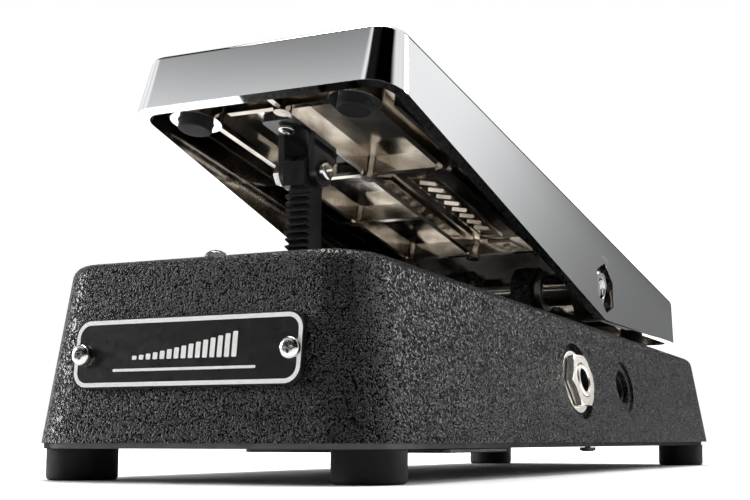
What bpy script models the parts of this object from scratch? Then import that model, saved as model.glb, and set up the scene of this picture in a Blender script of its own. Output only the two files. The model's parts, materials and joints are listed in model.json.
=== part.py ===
"""A rocker volume pedal: a cast housing on rubber feet, and a plated treadle that drives a potentiometer.

X is the width, Y runs from the toe (-Y) to the heel (+Y), and Z is up from the floor under the feet.
Every size and place in this file is in millimetres, and make_object turns them into Blender's metres.
The pedal rests with its heel down and its toe raised.
"""

from math import atan, cos, pi, radians, sin, tan

import bmesh
import bpy
from mathutils import Matrix, Vector

MM = 0.001
GAP = 0.3  # kept between pieces that touch
SCREW_CORE = 0.9

# Housing
LENGTH = 254.0
WIDTH = 97.2
PLATE_BOTTOM = 7.4
HOUSING_BOTTOM = 8.6
TOP_AT_CENTRE = 44.4
TOP_SLOPE = 0.0445  # the top falls towards the heel
SIDE_DRAFT = 0.18
TOE_DRAFT = 0.11
HEEL_DRAFT = 0.18
TOE_CORNER = 17.0
HEEL_CORNER = 14.0
TOP_EDGE_ROUND = 2.6
HOUSING_WALL = 3.0
HOUSING_ROOF = 2.8

# Treadle, as the side view of its own top face: RUN along the top from the toe, DEPTH down from it
PIVOT_Y = 34.5
PIVOT_Z = 57.6
TREADLE_TILT = radians(11.72)
PIVOT_RUN = 140.4
PIVOT_DEPTH = 19.3
TREADLE_LENGTH = 221.0
TREADLE_WIDTH = 72.6
TREADLE_DRAFT = 0.11
TREADLE_CORNER = 6.5
TREADLE_EDGE_ROUND = 1.3
TREADLE_WALL = 3.2
TREADLE_ROOF = 7.8
MAT_RECESS = 3.4
MAT_MARGIN = 4.0
MAT_CORNER = 4.0
MAT_GROOVE_PITCH = 6.4
MAT_GROOVE_WIDTH = 1.6
MAT_GROOVE_DEPTH = 1.0
TOE_DEPTH = 15.2
MID_DEPTH = 30.2
HEEL_DEPTH = 15.4
MID_RUN = 139.3
RIB_DEPTH = 13.0
RIB_THICK = 2.0
RIB_X = 23.0
WALL_RIB_X = 28.8
FRONT_RIB_RUN = 11.5
CROSS_RIB_RUNS = (54.0, 121.0, 172.0)
HALF_RIB_RUN = 87.0  # this one reaches from the left wall to the middle rib only
EMBOSS_LOW = (3.6, 68.0)
EMBOSS_HIGH = (11.8, 117.0)
EMBOSS_HEIGHT = 0.8

# Rack drive
RACK_X = -8.0
PIN_Y = -68.0
PIN_Z = 79.2
PIN_RADIUS = 1.5
PIN_SWING = 2.25  # how far the pin moves towards the toe as the treadle goes down
EYE_FOOT_Z = PIN_Z - 4.2
GEAR_MODULE = 0.6
PINION_TEETH = 19
PINION_Z = 38.6
RACK_TIP_Y = -72.2
RACK_BACK_Y = -65.0
RACK_HALF_WIDTH = 3.3
RACK_FOOT_Z = 37.6
TOOTH_ANGLE = radians(20)
TOOTH_PITCH = pi * GEAR_MODULE
PINION_RADIUS = GEAR_MODULE * PINION_TEETH / 2
MESH_CLEARANCE = 0.06
BACKLASH = 0.07
PINION_Y = RACK_TIP_Y + GEAR_MODULE - PINION_RADIUS - MESH_CLEARANCE
PINION_HALF_WIDTH = 2.2
RACK_DEDENDUM = 1.15
RACK_ROOT_Y = RACK_TIP_Y + GEAR_MODULE + RACK_DEDENDUM

# Controls and sockets in the side walls
JACK_Y = -8.0
JACK_Z = 26.0
POWER_Y = 31.5
POWER_Z = 25.8

# Feet
FOOT_X = 39.0
FOOT_Y = 113.5
FOOT_RADIUS = 8.1


def clear_scene():
    for old in list(bpy.data.objects):
        bpy.data.objects.remove(old)


def material(name, colour, roughness, metallic=0.0):
    made = bpy.data.materials.new(name)
    made.use_nodes = True
    shader = made.node_tree.nodes["Principled BSDF"]
    shader.inputs["Base Color"].default_value = (*colour, 1.0)
    shader.inputs["Roughness"].default_value = roughness
    shader.inputs["Metallic"].default_value = metallic
    return made


clear_scene()
CRINKLE = material("crinkle_coat", (0.045, 0.045, 0.047), 0.6)
CHROME = material("chrome", (0.80, 0.80, 0.81), 0.08, 1.0)
STEEL = material("steel", (0.60, 0.60, 0.60), 0.25, 1.0)
DARK_STEEL = material("dark_steel", (0.06, 0.06, 0.065), 0.4, 1.0)
RUBBER = material("rubber", (0.018, 0.018, 0.018), 0.75)
BLACK_PLASTIC = material("black_plastic", (0.02, 0.02, 0.02), 0.45)
PLATE_BLACK = material("plate_black", (0.012, 0.012, 0.012), 0.35)
CLEAR_PLASTIC = material("clear_plastic", (0.75, 0.78, 0.80), 0.08)
BRASS = material("brass", (0.70, 0.52, 0.22), 0.3, 1.0)
BOARD_GREEN = material("board_green", (0.02, 0.16, 0.08), 0.45)
BATTERY_CASE = material("battery_case", (0.20, 0.21, 0.23), 0.35, 1.0)
WHITE_PLASTIC = material("white_plastic", (0.78, 0.78, 0.75), 0.4)


# ---------------------------------------------------------------- shapes


def make_object(name, points, faces, finish=None, origin=(0, 0, 0)):
    """A mesh object from points in millimetres, with every face turned outwards."""
    shape = bmesh.new()
    corners = [shape.verts.new((Vector(p) - Vector(origin)) * MM) for p in points]
    for face in faces:
        shape.faces.new([corners[i] for i in face])
    bmesh.ops.recalc_face_normals(shape, faces=shape.faces[:])
    mesh = bpy.data.meshes.new(name)
    shape.to_mesh(mesh)
    shape.free()
    made = bpy.data.objects.new(name, mesh)
    made.location = Vector(origin) * MM
    bpy.context.scene.collection.objects.link(made)
    mesh.shade_smooth()
    mesh.set_sharp_from_angle(angle=radians(35))
    if finish:
        mesh.materials.append(finish)
    return made


def loft(name, rings, finish=None, origin=(0, 0, 0)):
    """A closed solid through rings of equal length, capped at the first and the last."""
    count = len(rings[0])
    points = [p for ring in rings for p in ring]
    faces = []
    for low in range(0, count * (len(rings) - 1), count):
        for i in range(count):
            j = (i + 1) % count
            faces.append((low + i, low + j, low + count + j, low + count + i))
    last = count * (len(rings) - 1)
    faces.append(tuple(reversed(range(count))))
    faces.append(tuple(range(last, last + count)))
    return make_object(name, points, faces, finish, origin)


def along(axis, a, b, h, centre=(0, 0, 0)):
    """A point at height h along an axis, at a and b on the two others in X, Y, Z order."""
    place = {"x": (h, a, b), "y": (a, h, b), "z": (a, b, h)}[axis]
    return tuple(place[i] + centre[i] for i in range(3))


def prism(name, outline, axis, low, high, finish=None, edge=0.0, origin=(0, 0, 0)):
    """An outline pushed along an axis. An edge size above zero bevels the two rims."""
    made = loft(name, [[along(axis, a, b, h) for a, b in outline] for h in (low, high)], finish, origin)
    if edge:
        bevel(made, edge)
    return made


def turned(name, profile, axis, centre, sides, finish=None, phase=0.0, origin=(0, 0, 0)):
    """A solid turned from (radius, height) steps. A closed bore comes from ring()."""
    rings = []
    for radius, height in profile:
        angles = [phase + 2 * pi * i / sides for i in range(sides)]
        rings.append([along(axis, radius * cos(t), radius * sin(t), height, centre) for t in angles])
    return loft(name, rings, finish, origin)


def ring(name, profile, axis, centre, sides, finish=None, phase=0.0):
    """A ring turned from a closed loop of (radius, height) corners."""
    count = len(profile)
    points = []
    for i in range(sides):
        t = phase + 2 * pi * i / sides
        points += [along(axis, r * cos(t), r * sin(t), h, centre) for r, h in profile]
    return make_object(name, points, ring_faces(sides, count), finish)


def ring_faces(sides, count):
    """The faces of a closed ring whose every section has the same number of corners."""
    faces = []
    for i in range(sides):
        here, after = i * count, (i + 1) % sides * count
        for k in range(count):
            m = (k + 1) % count
            faces.append((here + k, here + m, after + m, after + k))
    return faces


def box(name, low, high, finish=None, edge=0.0):
    outline = [(low[0], low[1]), (high[0], low[1]), (high[0], high[1]), (low[0], high[1])]
    return prism(name, outline, "z", low[2], high[2], finish, edge)


def circle(radius, sides):
    angles = [2 * pi * i / sides for i in range(sides)]
    return [(radius * cos(t), radius * sin(t)) for t in angles]


def upright(name, places, radius, low, high, sides=12):
    """Round uprights at (x, y) places, as one tool."""
    shapes = [turned(name, [(radius, low), (radius, high)], "z", (x, y, 0), sides) for x, y in places]
    return joined(name, shapes)


def rounded_box_outline(low, high, radii, steps=6):
    """Corners go round from (low, low) anticlockwise, each with its own radius."""
    corners = ((low[0], low[1]), (high[0], low[1]), (high[0], high[1]), (low[0], high[1]))
    ways = ((1, 1), (-1, 1), (-1, -1), (1, -1))
    outline = []
    for index, (corner, way, radius) in enumerate(zip(corners, ways, radii)):
        start = pi + index * pi / 2
        for step in range(steps + 1):
            t = start + step * pi / 2 / steps
            x = corner[0] + way[0] * radius + radius * cos(t)
            y = corner[1] + way[1] * radius + radius * sin(t)
            outline.append((x, y))
    return outline


def bevel(target, width, segments=2, angle=30):
    made = target.modifiers.new("edge", "BEVEL")
    made.width = width * MM
    made.segments = segments
    made.limit_method = "ANGLE"
    made.angle_limit = radians(angle)
    return made


def joined(name, pieces, finish=None):
    """Several separate solids as one object."""
    shape = bmesh.new()
    for piece in pieces:
        start = len(shape.verts)
        shape.from_mesh(piece.data)
        shape.verts.ensure_lookup_table()
        bmesh.ops.transform(shape, matrix=Matrix.Translation(piece.location), verts=shape.verts[start:])
        bpy.data.objects.remove(piece)
    mesh = bpy.data.meshes.new(name)
    shape.to_mesh(mesh)
    shape.free()
    made = bpy.data.objects.new(name, mesh)
    bpy.context.scene.collection.objects.link(made)
    if finish:
        mesh.materials.clear()
        mesh.materials.append(finish)
        for face in mesh.polygons:
            face.material_index = 0
    return made


def combine(target, tool, operation):
    made = target.modifiers.new(operation.lower(), "BOOLEAN")
    made.operation = operation
    made.object = tool
    made.solver = "EXACT"
    tool.hide_render = True
    tool.display_type = "WIRE"
    return made


def cut(target, tool):
    return combine(target, tool, "DIFFERENCE")


def add(target, tool):
    return combine(target, tool, "UNION")


def side_span(side, inner, outer):
    """The low and the high end of a stretch out from the middle, on either side."""
    return (inner, outer) if side > 0 else (-outer, -inner)


def top_z(y):
    return TOP_AT_CENTRE - TOP_SLOPE * y


# ---------------------------------------------------------------- housing

DRAFT_TOP = 50.0


def housing_outline(z, inset):
    rise = z - HOUSING_BOTTOM
    half = WIDTH / 2 - SIDE_DRAFT * rise - inset
    toe = -LENGTH / 2 + TOE_DRAFT * rise + inset
    heel = LENGTH / 2 - HEEL_DRAFT * rise - inset
    shrink = 0.12 * rise + inset
    corners = (TOE_CORNER - shrink, TOE_CORNER - shrink, HEEL_CORNER - shrink, HEEL_CORNER - shrink)
    return rounded_box_outline((-half, toe), (half, heel), corners)


def housing_ring(inset, drop):
    """The ring of the drafted wall that lies below the sloping top by the given drop."""
    low = housing_outline(HOUSING_BOTTOM, inset)
    high = housing_outline(DRAFT_TOP, inset)
    rise = DRAFT_TOP - HOUSING_BOTTOM
    points = []
    for (x0, y0), (x1, y1) in zip(low, high):
        t = (top_z(y0) - drop - HOUSING_BOTTOM) / (rise + TOP_SLOPE * (y1 - y0))
        points.append((x0 + (x1 - x0) * t, y0 + (y1 - y0) * t, HOUSING_BOTTOM + rise * t))
    return points


def edge_round(radius, steps):
    """(inset, drop) steps of a quarter round, from the flat top out to the wall."""
    turns = [k * pi / 2 / steps for k in range(steps + 1)]
    return [(radius * (1 - sin(t)), radius * (1 - cos(t))) for t in turns]


def housing_foot_ring(inset):
    return [(x, y, HOUSING_BOTTOM) for x, y in housing_outline(HOUSING_BOTTOM, inset)]


FOOT_PLACES = [(x, y) for y in (-FOOT_Y, FOOT_Y) for x in (-FOOT_X, FOOT_X)]
PLATE_SCREW_PLACES = ((-40.5, 12.0), (40.5, 12.0))
POST_TOP = 26.0
BOARD_POST_PLACES = ((-24.0, 54.0), (24.0, 54.0))
BOARD_Z = 27.0
LUG_INNER = 8.5
LUG_OUTER = 15.5
LUG_ROUND = 8.0
LUG_FOOT = 11.0
BUSH_RADIUS = 4.6
SLOT_LOW = (RACK_X - 6.4, PINION_Y - PINION_RADIUS - 1.6)
SLOT_HIGH = (RACK_X + 6.4, RACK_BACK_Y + 4.0)
LED_Y = -115.5
ROOF_SCREW_PLACES = ((12.0, PINION_Y), (RACK_X, RACK_BACK_Y + 9.5))
NUT_FACE = 11.0  # radius of the round recess that each jack's nut stands in
NUT_FACE_DEPTH = 1.9
POWER_FACE = 8.0
JACK_HOLE = 5.1
POWER_HOLE = 5.3
FACE_DEPTH = 0.7
THREAD_HOLE = 1.2


def wall_x(z):
    """How far out the side wall stands at a height."""
    return WIDTH / 2 - SIDE_DRAFT * (z - HOUSING_BOTTOM)


def lug_outline():
    spread = [radians(a) for a in range(-10, 191, 20)]
    crown = [(PIVOT_Y + LUG_ROUND * cos(t), PIVOT_Z + LUG_ROUND * sin(t)) for t in spread]
    foot_z = top_z(PIVOT_Y) - HOUSING_ROOF / 2
    return [(PIVOT_Y - LUG_FOOT, foot_z), (PIVOT_Y + LUG_FOOT, foot_z)] + crown


def wall_tool(name, side, y, z, radius, depth, sides=32):
    """A cutter that bores into the drafted side wall, square to it, to a depth."""
    lean = atan(SIDE_DRAFT)
    made = turned(name, [(radius, -depth), (radius, 12.0)], "x", (0, 0, 0), sides)
    made.matrix_world = wall_frame(side, y, z, lean)
    return made


def wall_frame(side, y, z, lean):
    """Puts a piece drawn along +X onto the side wall at y and z."""
    place = Matrix.Translation(Vector((side * wall_x(z), y, z)) * MM)
    turn = Matrix.Identity(4) if side > 0 else Matrix.Rotation(pi, 4, "Z")
    return place @ turn @ Matrix.Rotation(-lean, 4, "Y")


def housing_shell():
    rings = [housing_ring(inset, drop) for inset, drop in edge_round(TOP_EDGE_ROUND, 4)]
    rings.append(housing_foot_ring(0.0))
    rings.append(housing_foot_ring(HOUSING_WALL))
    rings.append(housing_ring(HOUSING_WALL, HOUSING_ROOF))
    return loft("housing", rings, CRINKLE)


def make_housing():
    housing = housing_shell()
    post_foot = HOUSING_BOTTOM + 0.4
    add(housing, upright("foot_posts", FOOT_PLACES, 4.4, post_foot, POST_TOP, 16))
    add(housing, upright("plate_posts", PLATE_SCREW_PLACES, 3.4, post_foot, POST_TOP))
    board_posts = [turned("post", [(2.6, BOARD_Z + 2.0), (3.0, top_z(y) - 1.4)], "z", (x, y, 0), 12)
                   for x, y in BOARD_POST_PLACES]
    add(housing, joined("board_posts", board_posts))
    lugs = [prism("lug", lug_outline(), "x", *side_span(side, LUG_INNER, LUG_OUTER)) for side in (-1, 1)]
    add(housing, joined("housing_lugs", lugs))
    cut_housing(housing)
    return housing


def cut_housing(housing):
    reach = LUG_OUTER + 2.0
    bush_seat = [(BUSH_RADIUS + GAP, -reach), (BUSH_RADIUS + GAP, reach)]
    cut(housing, turned("bush_seat", bush_seat, "x", (0, PIVOT_Y, PIVOT_Z), 32))
    inside = 40.0
    cut(housing, box("rack_slot", (*SLOT_LOW, inside), (*SLOT_HIGH, 60.0)))
    cut(housing, upright("light_hole", [(0, LED_Y)], 2.0, inside, 60.0, 20))
    cut(housing, upright("foot_screw_holes", FOOT_PLACES, THREAD_HOLE + GAP, 0.0, POST_TOP - 2.0))
    cut(housing, upright("plate_screw_holes", PLATE_SCREW_PLACES, THREAD_HOLE, 0.0, POST_TOP - 6.0))
    cut(housing, upright("board_screw_holes", BOARD_POST_PLACES, THREAD_HOLE, BOARD_Z - 7.0, BOARD_Z + 9.0))
    roof_holes = [turned("hole", [(THREAD_HOLE, inside), (THREAD_HOLE, top_z(y) - 1.0)], "z", (x, y, 0), 12)
                  for x, y in ROOF_SCREW_PLACES]
    cut(housing, joined("roof_screw_holes", roof_holes))
    plate_holes = [turned("hole", [(1.3, -135.0), (1.3, -110.0)], "y", (x, 0, NAMEPLATE_Z), 12)
                   for x in (-NAMEPLATE_SCREW_X, NAMEPLATE_SCREW_X)]
    cut(housing, joined("nameplate_screw_holes", plate_holes))
    for side in (-1, 1):
        cut(housing, wall_tool(f"jack_face_{side}", side, JACK_Y, JACK_Z, NUT_FACE, NUT_FACE_DEPTH, 40))
        cut(housing, wall_tool(f"jack_hole_{side}", side, JACK_Y, JACK_Z, JACK_HOLE, 8.0))
    cut(housing, wall_tool("power_face", 1, POWER_Y, POWER_Z, POWER_FACE, FACE_DEPTH, 40))
    cut(housing, wall_tool("power_hole", 1, POWER_Y, POWER_Z, POWER_HOLE, 8.0))


# ---------------------------------------------------------------- nameplate, light, base plate and feet

NAMEPLATE_SCREW_X = 27.8
NAMEPLATE_Z = 28.3
NAMEPLATE_LENGTH = 60.8
NAMEPLATE_HEIGHT = 15.6
NAMEPLATE_THICK = 1.0
BASE_INSET = 0.4
BASE_THICK = HOUSING_BOTTOM - GAP - PLATE_BOTTOM
DOOR_LOW = (-31.0, -62.0)
DOOR_HIGH = (31.0, -24.0)
DOOR_THICK = 1.1
FOOT_TOP = PLATE_BOTTOM - GAP


def toe_frame(x, z, lift):
    """Puts a piece drawn in XY, with its thickness up +Z, onto the leaning toe wall."""
    y = -LENGTH / 2 + TOE_DRAFT * (z - HOUSING_BOTTOM)
    lean = atan(TOE_DRAFT)
    out = Vector((0, -cos(lean), sin(lean)))
    place = Matrix.Translation((Vector((x, y, z)) + out * lift) * MM)
    return place @ Matrix.Rotation(pi / 2 - lean, 4, "X")


def make_nameplate():
    half = (NAMEPLATE_LENGTH / 2, NAMEPLATE_HEIGHT / 2)
    outline = rounded_box_outline((-half[0], -half[1]), half, (3.0,) * 4, 5)
    plate = prism("nameplate", outline, "z", 0, NAMEPLATE_THICK, PLATE_BLACK)
    places = [(-NAMEPLATE_SCREW_X, 0), (NAMEPLATE_SCREW_X, 0)]
    tool = upright("nameplate_holes", places, 1.5, -2.0, 3.0, 16)
    frame = toe_frame(0, NAMEPLATE_Z, GAP)
    plate.matrix_world = frame
    tool.matrix_world = frame
    cut(plate, tool)
    for side, hand in ((-1, "left"), (1, "right")):
        profile = [(1.0, -3.6), (1.0, 1.3), (2.35, 1.3), (2.35, 2.0), (1.9, 2.6), (1.0, 2.95)]
        screw = turned(f"nameplate_screw_{hand}", profile, "z", (side * NAMEPLATE_SCREW_X, 0, 0), 20, STEEL)
        screw.matrix_world = frame


def make_light():
    roof = top_z(LED_Y)
    dome = [(1.7, roof - HOUSING_ROOF - 0.6), (1.7, roof + GAP), (2.6, roof + GAP), (2.6, roof + 0.8)]
    dome += [(2.6 * cos(radians(a)), roof + 0.8 + 1.5 * sin(radians(a))) for a in (30, 60, 82)]
    turned("led_lens", dome, "z", (0, LED_Y, 0), 24, CLEAR_PLASTIC)
    foot = roof - HOUSING_ROOF - 0.6 - GAP
    body = [(1.9, foot - 7.2), (1.9, foot - 6.2), (1.5, foot - 6.2), (1.5, foot - 1.0), (0.9, foot)]
    turned("led_body", body, "z", (0, LED_Y, 0), 20, WHITE_PLASTIC)


def make_base_plate():
    half = WIDTH / 2 - BASE_INSET
    toe = -LENGTH / 2 + BASE_INSET
    heel = LENGTH / 2 - 2.5
    outline = rounded_box_outline((-half, toe), (half, heel), (TOE_CORNER, TOE_CORNER, 18.0, 18.0))
    plate = prism("base_plate", outline, "z", PLATE_BOTTOM, PLATE_BOTTOM + BASE_THICK, DARK_STEEL)
    tools = [box("hatch", (DOOR_LOW[0] + 4, DOOR_LOW[1] + 4, 0), (DOOR_HIGH[0] - 4, DOOR_HIGH[1] - 4, 12))]
    for x, y in FOOT_PLACES:
        tools.append(turned("hole", [(1.9, 0), (1.9, 12)], "z", (x, y, 0), 16))
    for x, y in PLATE_SCREW_PLACES:
        tools.append(turned("hole", [(1.5, 0), (1.5, 12)], "z", (x, y, 0), 16))
    cut(plate, joined("base_plate_holes", tools))
    for hand, (x, y) in zip(("left", "right"), PLATE_SCREW_PLACES):
        profile = [(1.6, PLATE_BOTTOM - 1.5), (2.4, PLATE_BOTTOM - 1.1), (2.4, PLATE_BOTTOM - GAP)]
        profile += [(0.9, PLATE_BOTTOM - GAP), (0.9, HOUSING_BOTTOM + 6.0)]
        turned(f"base_plate_screw_{hand}", profile, "z", (x, y, 0), 16, STEEL)


def make_battery():
    low, high = DOOR_LOW, DOOR_HIGH
    floor = PLATE_BOTTOM - GAP
    outline = rounded_box_outline(low, high, (2.5,) * 4, 4)
    door = prism("battery_door", outline, "z", floor - DOOR_THICK, floor, BLACK_PLASTIC)
    grips = [box("grip", (x, high[1] - 6.5, floor - DOOR_THICK - 1), (x + 1.2, high[1] - 2.0, floor - 0.6))
             for x in (-9.0, -5.4, -1.8, 1.8, 5.4)]
    cut(door, joined("door_grips", grips))
    rest = PLATE_BOTTOM + BASE_THICK
    case = rounded_box_outline((-24.0, -58.0), (24.0, -31.0), (3.0,) * 4, 4)
    prism("battery", case, "z", rest + 1.0, rest + 18.0, BATTERY_CASE, 0.6)
    snap = box("battery_snap", (25.4, -56.5, rest + 4.5), (28.0, -33.0, rest + 14.5), BLACK_PLASTIC, 0.4)
    cap = [(3.0, 24.0 + GAP), (3.0, 26.4)]
    terminals = [turned("terminal", cap, "x", (0, y, rest + 9.5), 16) for y in (-51.0, -38.5)]
    add(snap, joined("battery_terminals", terminals))


def make_feet():
    """Rubber feet, each held by a screw whose head sits in the foot's counterbore."""
    names = ("foot_toe_left", "foot_toe_right", "foot_heel_left", "foot_heel_right")
    seat = 2.6
    bore, counterbore = 1.5, 4.6
    step = [(bore, seat), (counterbore, seat), (counterbore, 0.0)]
    rim = [(FOOT_RADIUS - 0.8, 0.0), (FOOT_RADIUS - 0.25, 0.25), (FOOT_RADIUS, 0.9)]
    under = seat - GAP
    head = [(2.4, under - 1.6), (3.4, under - 1.0), (3.4, under)]
    shank = [(SCREW_CORE, under), (SCREW_CORE, HOUSING_BOTTOM + 8.0)]
    for name, (x, y) in zip(names, FOOT_PLACES):
        ring(name, step + rim + [(FOOT_RADIUS, FOOT_TOP), (bore, FOOT_TOP)], "z", (x, y, 0), 36, RUBBER)
        turned(name.replace("foot", "foot_screw"), head + shank, "z", (x, y, 0), 16, STEEL)


# ---------------------------------------------------------------- sockets

JACK_BORE = 3.35
JACK_THREAD = 4.75
JACK_SHOULDER = -3.4  # where a socket's body stands behind the wall's outer face
SLEEVE_END = 2.1
WASHER_RADIUS = 9.0
WASHER_THICK = 0.8
NUT_FLATS = 14.4
NUT_THICK = 2.2


def nut_ring(name, axis, centre, flats, bore, low, high, finish, sides=48):
    """A hexagonal nut from low to high. Its face at high is turned down to a chamfer."""
    inwards = -1 if high > low else 1
    points = []
    for i in range(sides):
        t = 2 * pi * i / sides
        corner = flats / 2 / cos(t % (pi / 3) - pi / 6)
        crown = min(corner, flats / 2 * 1.04)
        edge = high + inwards * (corner - crown) * tan(radians(30))
        profile = ((bore, low), (corner, low), (corner, edge), (crown, high), (bore, high))
        points += [along(axis, r * cos(t), r * sin(t), h, centre) for r, h in profile]
    return make_object(name, points, ring_faces(sides, 5), finish)


def make_jacks():
    """Each jack's body carries the threaded sleeve that its washer and nut go on."""
    lean = atan(SIDE_DRAFT)
    centre = (0, 0, 0)
    for side, name in ((1, "input_jack"), (-1, "output_jack")):
        outline = rounded_box_outline((-8.0, -7.5), (8.0, 7.5), (1.2,) * 4, 2)
        body = prism(name, outline, "x", -24.0, JACK_SHOULDER, BLACK_PLASTIC)
        sleeve = [(JACK_THREAD, -5.0), (JACK_THREAD, SLEEVE_END - 0.4), (JACK_THREAD - 0.4, SLEEVE_END)]
        sleeve = turned(name + "_sleeve", sleeve, "x", centre, 32)
        bore = [(JACK_BORE, -21.0), (JACK_BORE, SLEEVE_END - 0.4), (JACK_BORE + 0.5, SLEEVE_END + 0.1)]
        bore = turned(name + "_bore", bore, "x", centre, 32)
        inner, low = JACK_THREAD + GAP, GAP - NUT_FACE_DEPTH
        high = low + WASHER_THICK
        nut_low = high + GAP
        washer = [(inner, low), (WASHER_RADIUS, low), (WASHER_RADIUS, high), (inner, high)]
        washer = ring(name + "_washer", washer, "x", centre, 40, STEEL)
        nut = nut_ring(name + "_nut", "x", centre, NUT_FLATS, inner, nut_low, nut_low + NUT_THICK, CHROME)
        for piece in (body, sleeve, bore, washer, nut):
            piece.matrix_world = wall_frame(side, JACK_Y, JACK_Z, lean)
        add(body, sleeve)
        cut(body, bore)


def make_power_jack():
    """A barrel socket with its centre pin."""
    centre = (0, 0, 0)
    outline = rounded_box_outline((-7.0, -5.5), (7.0, 5.5), (0.8,) * 4, 2)
    body = prism("power_jack", outline, "x", -17.0, JACK_SHOULDER, BLACK_PLASTIC)
    barrel = [(POWER_HOLE - GAP, -5.0), (POWER_HOLE - GAP, -2.2)]
    barrel = turned("power_barrel", barrel, "x", centre, 32)
    pin_radius, bore_radius = 1.05, 3.9
    bore = [(pin_radius, -14.0), (bore_radius, -14.0), (bore_radius, 2.0), (pin_radius, 2.0)]
    bore = ring("power_bore", bore, "x", centre, 28)
    pin_end = turned("power_pin_end", [(pin_radius + GAP, -3.2), (pin_radius + GAP, 2.0)], "x", centre, 16)
    for piece in (body, barrel, bore, pin_end):
        piece.matrix_world = wall_frame(1, POWER_Y, POWER_Z, atan(SIDE_DRAFT))
    add(body, barrel)
    cut(body, bore)
    cut(body, pin_end)


# ---------------------------------------------------------------- circuit board


def make_board():
    outline = rounded_box_outline((-27.5, 22.0), (27.5, 86.0), (2.0,) * 4, 3)
    board = prism("circuit_board", outline, "z", BOARD_Z, BOARD_Z + 1.6, BOARD_GREEN)
    holes = [turned("hole", [(1.5, 20.0), (1.5, 40.0)], "z", (x, y, 0), 12) for x, y in BOARD_POST_PLACES]
    cut(board, joined("board_holes", holes))
    for hand, (x, y) in zip(("left", "right"), BOARD_POST_PLACES):
        profile = [(1.2, BOARD_Z - 2.0), (2.3, BOARD_Z - 1.4), (2.3, BOARD_Z - GAP), (0.9, BOARD_Z - GAP)]
        turned(f"board_screw_{hand}", profile + [(0.9, BOARD_Z + 8.0)], "z", (x, y, 0), 14, STEEL)
    box("amplifier_chip", (-12.0, 36.0, BOARD_Z - 3.8), (-2.4, 42.4, BOARD_Z - GAP), BLACK_PLASTIC)
    can = [(3.6, BOARD_Z - 11.0), (4.0, BOARD_Z - 10.4), (4.0, BOARD_Z - GAP)]
    turned("filter_capacitor", can, "z", (12.0, 70.0, 0), 20, BATTERY_CASE)


# ---------------------------------------------------------------- potentiometer, pinion and rack

POT_SHAFT = 2.0
POT_THREAD = 3.4
POT_PLATE_LOW = -1.2
POT_PLATE_HIGH = 0.4


def involute_outline():
    """The pinion's outline, with a tooth gap facing the rack at +Y."""
    base = PINION_RADIUS * cos(TOOTH_ANGLE)
    tip = PINION_RADIUS + GEAR_MODULE * 0.95
    root = PINION_RADIUS - GEAR_MODULE * 1.3
    swing = tan(TOOTH_ANGLE) - TOOTH_ANGLE
    half_pitch_angle = pi / PINION_TEETH / 2 - BACKLASH / 2 / PINION_RADIUS
    flank = []
    for k in range(5):
        radius = base + (tip - base) * k / 4
        roll = (max(radius / base, 1.0) ** 2 - 1) ** 0.5
        flank.append((radius, half_pitch_angle + swing - (roll - atan(roll))))
    outline = []
    for tooth in range(PINION_TEETH):
        middle = 2 * pi * (tooth + 0.5) / PINION_TEETH
        side = [(root, middle - flank[0][1] - 0.01)] + [(r, middle - a) for r, a in flank]
        side += [(r, middle + a) for r, a in reversed(flank)] + [(root, middle + flank[0][1] + 0.01)]
        outline += [(r * cos(t), r * sin(t)) for r, t in side]
    return outline


def make_drive_mount():
    """The potentiometer on its bracket, and the guide behind the rack. Both hang from the roof."""
    centre = (0, PINION_Y, PINION_Z)
    low, high = (PINION_Y - 4.9, PINION_Z - 7.0), (PINION_Y + 4.9, PINION_Z + 3.7)
    outline = rounded_box_outline(low, high, (0.8,) * 4, 2)
    body = prism("potentiometer", outline, "x", POT_PLATE_HIGH + GAP, POT_PLATE_HIGH + 7.6, BLACK_PLASTIC)
    thread = [(POT_THREAD, -5.0), (POT_THREAD, POT_PLATE_HIGH + 1.5)]
    add(body, turned("pot_thread", thread, "x", centre, 24))
    bore = [(POT_SHAFT + GAP, -8.0), (POT_SHAFT + GAP, POT_PLATE_HIGH + 4.0)]
    cut(body, turned("pot_bore", bore, "x", centre, 24))
    outer, inner = POT_PLATE_LOW - 2.3, POT_PLATE_LOW - GAP
    nut_ring("potentiometer_nut", "x", centre, 9.6, POT_THREAD + GAP, inner, outer, STEEL, 24)
    make_pot_bracket(centre)
    make_rack_guide()


def roof_screw(name, place, under):
    """A screw up into the roof, with its head under the piece that it holds."""
    x, y = place
    profile = [(1.2, under - 1.7), (2.1, under - 1.2), (2.1, under), (SCREW_CORE, under)]
    profile.append((SCREW_CORE, top_z(y) - 1.4))
    turned(name, profile, "z", (x, y, 0), 14, STEEL)


def make_pot_bracket(centre):
    toe, heel = PINION_Y - 8.0, PINION_Y + 8.0
    roof = top_z(heel) - HOUSING_ROOF - GAP
    thick = POT_PLATE_HIGH - POT_PLATE_LOW
    low, high = (POT_PLATE_LOW, toe, PINION_Z - 6.0), (POT_PLATE_HIGH, heel, roof)
    bracket = box("potentiometer_bracket", low, high, DARK_STEEL)
    add(bracket, box("pot_flange", (POT_PLATE_LOW, toe, roof - thick), (16.0, heel, roof)))
    hole = [(POT_THREAD + GAP, -4.0), (POT_THREAD + GAP, 2.0)]
    cut(bracket, turned("pot_hole", hole, "x", centre, 24))
    cut(bracket, upright("pot_screw_hole", ROOF_SCREW_PLACES[:1], 1.4, 36.0, 50.0))
    roof_screw("potentiometer_screw", ROOF_SCREW_PLACES[0], roof - thick - GAP)


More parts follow.
